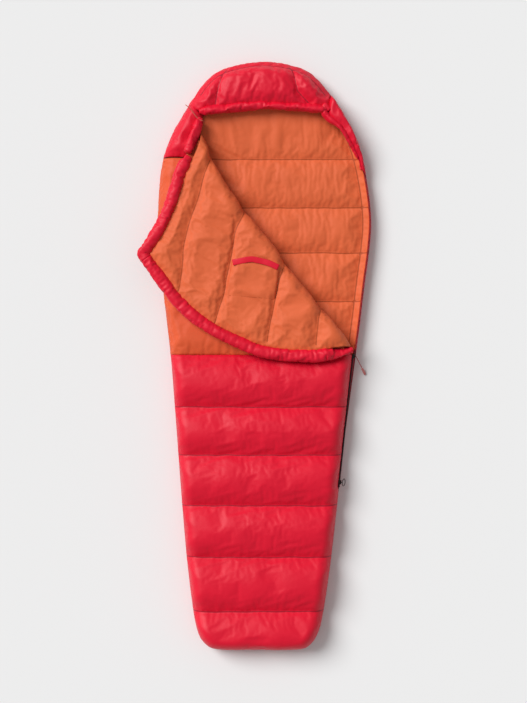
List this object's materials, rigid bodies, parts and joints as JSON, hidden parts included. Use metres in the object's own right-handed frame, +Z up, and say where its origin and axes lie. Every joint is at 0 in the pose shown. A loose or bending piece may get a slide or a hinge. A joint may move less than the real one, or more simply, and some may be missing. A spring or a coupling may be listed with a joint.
{
  "type": "mummy sleeping bag",
  "caption": "Down-filled mummy sleeping bag lying on its back, its zipped front flap folded open over the left side, with a hood, stash pocket and two-way zip.",
  "frame": {"origin": "on the ground under the bag, on the underside of the back shell, near the waist", "axes": "+Y towards the head along the bag, +Z up from the ground, +X to the side of the zip"},
  "size_m": [0.8435, 2.1262, 0.1444],
  "materials": {
    "down": "white down filling in thin baffle cloth",
    "lining_orange": "thin orange ripstop nylon lining, soft sheen",
    "baffle_orange": "padded strip in orange lining cloth",
    "shell_orange": "thin orange ripstop nylon shell, satin sheen",
    "zip_teeth": "dark moulded coil teeth on woven tape",
    "zip_tape": "woven red polyester tape",
    "slider_metal": "die cast slider, bluish grey",
    "pull_cord": "braided red cord",
    "pull_grip": "pale translucent soft plastic",
    "pull_loop": "dark braided cord",
    "drawcord": "braided elastic cord",
    "spring_steel": "spring wire",
    "lock_plastic": "moulded black acetal",
    "binding_red": "red woven binding",
    "shell_red_back": "thin red ripstop nylon shell, underside",
    "shell_red": "thin red ripstop nylon shell, satin sheen"
  },
  "bodies": {
    "bag": {"back_fill_01": "down", "back_fill_02": "down", "back_fill_03": "down", "back_fill_04": "down", "back_fill_05": "down", "back_fill_06": "down", "back_fill_07": "down", "back_fill_08": "down", "back_fill_09": "down", "back_fill_10": "down", "back_lining": "lining_orange", "back_shell": "shell_red_back", "cord_lock_barrel": "lock_plastic", "cord_lock_spring": "spring_steel", "front_fill_01": "down", "front_fill_02": "down", "front_fill_03": "down", "front_fill_04": "down", "front_fill_05": "down", "front_fill_06": "down", "front_left_fill_01": "down", "front_left_fill_02": "down", "front_left_shell": "shell_orange", "front_lining": "lining_orange", "front_lower_shell": "shell_red", "hood_back_fill": "down", "hood_crown_panel": "shell_red", "hood_drawcord": "drawcord", "hood_rim_baffle": "baffle_orange", "neck_left_panel": "shell_red", "neck_right_panel": "shell_red", "side_baffle": "baffle_orange", "zip_back_half": "zip_teeth", "zip_bottom_stop": "slider_metal", "zip_closed_tape": "zip_tape", "zip_closed_teeth": "zip_teeth", "zip_draft_tube": "baffle_orange"},
    "flap": {"flap_fill_1": "down", "flap_fill_2": "down", "flap_fill_3": "down", "flap_fill_4": "down", "flap_lining": "lining_orange", "flap_neck_band": "shell_red", "flap_shell": "shell_orange", "flap_zip_band": "shell_red", "flap_zip_half": "zip_teeth", "pocket_binding": "binding_red", "pocket_panel": "lining_orange"},
    "visor": {"hood_face_roll": "shell_red", "hood_visor_fill_left": "down", "hood_visor_fill_middle": "down", "hood_visor_fill_right": "down", "hood_visor_lining": "lining_orange", "hood_visor_shell": "shell_red"},
    "upper_slider": {"upper_slider": "slider_metal"},
    "upper_pull": {"upper_pull_cord": "pull_cord", "upper_pull_grip": "pull_grip"},
    "lower_slider": {"lower_slider": "slider_metal"},
    "lower_pull": {"lower_pull_loop": "pull_loop"},
    "lock_button": {"cord_lock_button": "lock_plastic"}
  },
  "joints": [
    {"name": "flap_fold", "type": "hinge", "parent": "bag", "child": "flap", "pos_m": [-0.2367, 0.7801, 0.0963], "axis": [-0.5748, 0.8183, 0], "range_deg": [0, 179]},
    {"name": "visor_lift", "type": "hinge", "parent": "bag", "child": "visor", "pos_m": [0, 1.03, 0.096], "axis": [-1, 0, 0], "range_deg": [0, 40]},
    {"name": "upper_slider_run", "type": "slide", "parent": "bag", "child": "upper_slider", "axis": [-0.1067, -0.9943, 0], "range_m": [0, 0.26]},
    {"name": "upper_pull_swing", "type": "hinge", "parent": "upper_slider", "child": "upper_pull", "pos_m": [0.33951, -0.00158, 0.046], "axis": [-0.8771, -0.4802, 0], "range_deg": [0, 85]},
    {"name": "lower_slider_run", "type": "slide", "parent": "bag", "child": "lower_slider", "axis": [0.1067, 0.9943, 0], "range_m": [0, 0.16]},
    {"name": "lower_pull_swing", "type": "hinge", "parent": "lower_slider", "child": "lower_pull", "pos_m": [0.29052, -0.45827, 0.046], "axis": [-0.1067, -0.9943, 0], "range_deg": [-25, 140]},
    {"name": "lock_button_press", "type": "slide", "parent": "bag", "child": "lock_button", "axis": [0, -1, 0], "range_m": [0, 0.005], "stiffness_N_per_m": 300, "springref_m": -0.006, "deforming": ["cord_lock_spring"]}
  ]
}
